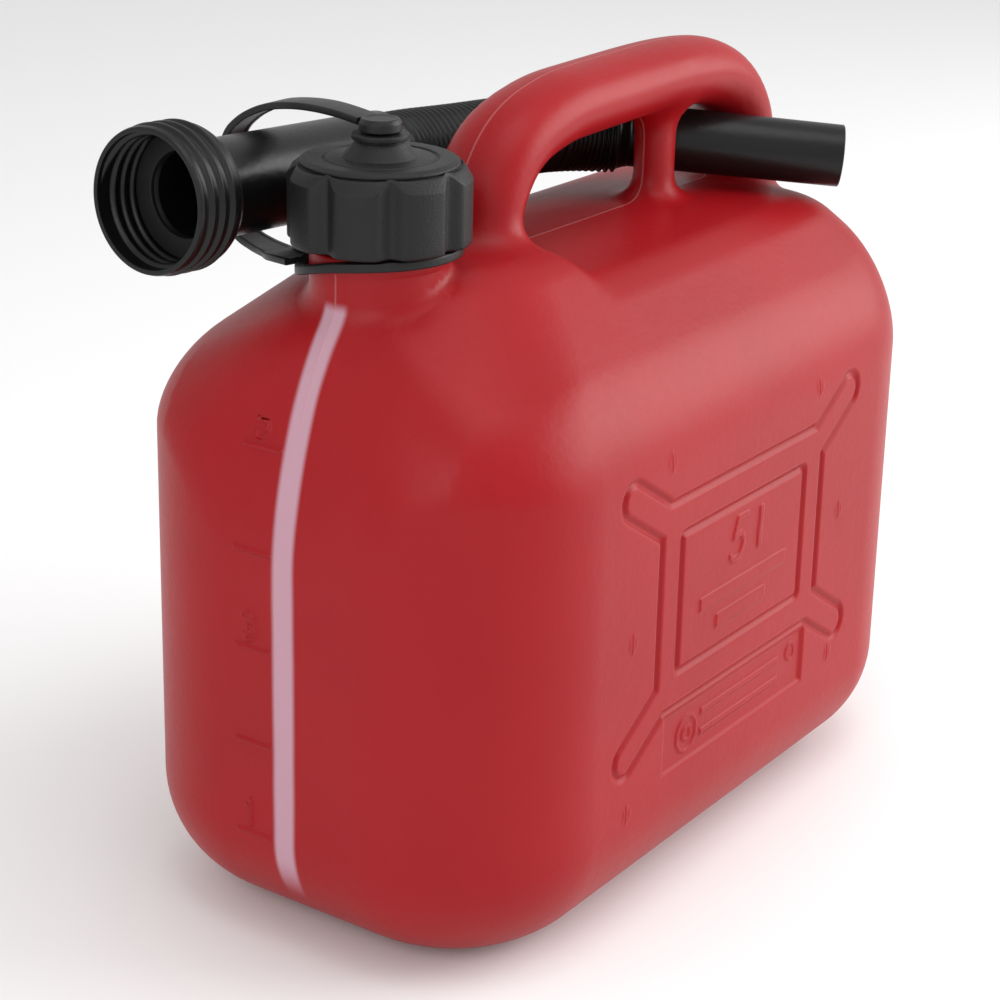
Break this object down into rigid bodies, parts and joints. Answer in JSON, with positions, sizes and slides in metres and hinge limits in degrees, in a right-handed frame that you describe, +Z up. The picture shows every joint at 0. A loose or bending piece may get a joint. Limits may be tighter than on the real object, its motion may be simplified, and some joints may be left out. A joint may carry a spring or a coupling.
{
  "type": "plastic petrol can",
  "caption": "Hollow petrol can with an integral handle, a tethered screw cap and a bent flexible spout stored through the handle.",
  "frame": {"origin": "centre of the can's base, on the plane that it stands on", "axes": "+X to the rear of the can, away from the neck; +Z up; +Y to the side that carries the stored spout"},
  "size_m": [0.2616, 0.147, 0.2411],
  "materials": {
    "can_plastic": "satin, blow-moulded, with a fine orange peel",
    "cap_plastic": "satin, moulded",
    "spout_plastic": "satin, blow-moulded",
    "seal_rubber": "matte"
  },
  "bodies": {
    "can": {"can_body": "can_plastic", "tether_ring": "cap_plastic", "tether_strap": "cap_plastic", "spout_mouth": "spout_plastic", "spout_seal": "seal_rubber", "spout_hose": "spout_plastic"},
    "cap_lift": {"tether_button": "cap_plastic"},
    "cap": {"screw_cap": "cap_plastic", "cap_seal": "seal_rubber"},
    "nozzle": {"spout_nozzle": "spout_plastic"}
  },
  "joints": [
    {"name": "cap_rise", "type": "slide", "parent": "can", "child": "cap_lift", "axis": [0, 0, 1], "range_m": [0, 0.0075], "deforming": ["tether_strap"]},
    {"name": "cap_turn", "type": "hinge", "parent": "cap_lift", "child": "cap", "pos_m": [-0.0863, 0, 0.2284], "axis": [0, 0, 1], "range_deg": [0, 542]},
    {"name": "nozzle_slide", "type": "slide", "parent": "can", "child": "nozzle", "axis": [0.5359, -0.8411, -0.0732], "range_m": [-0.006, 0.004], "deforming": ["spout_hose"]}
  ],
  "couplings": [
    {"joint": "cap_turn", "follows": "cap_rise", "rad_per_m": 1256.6}
  ]
}
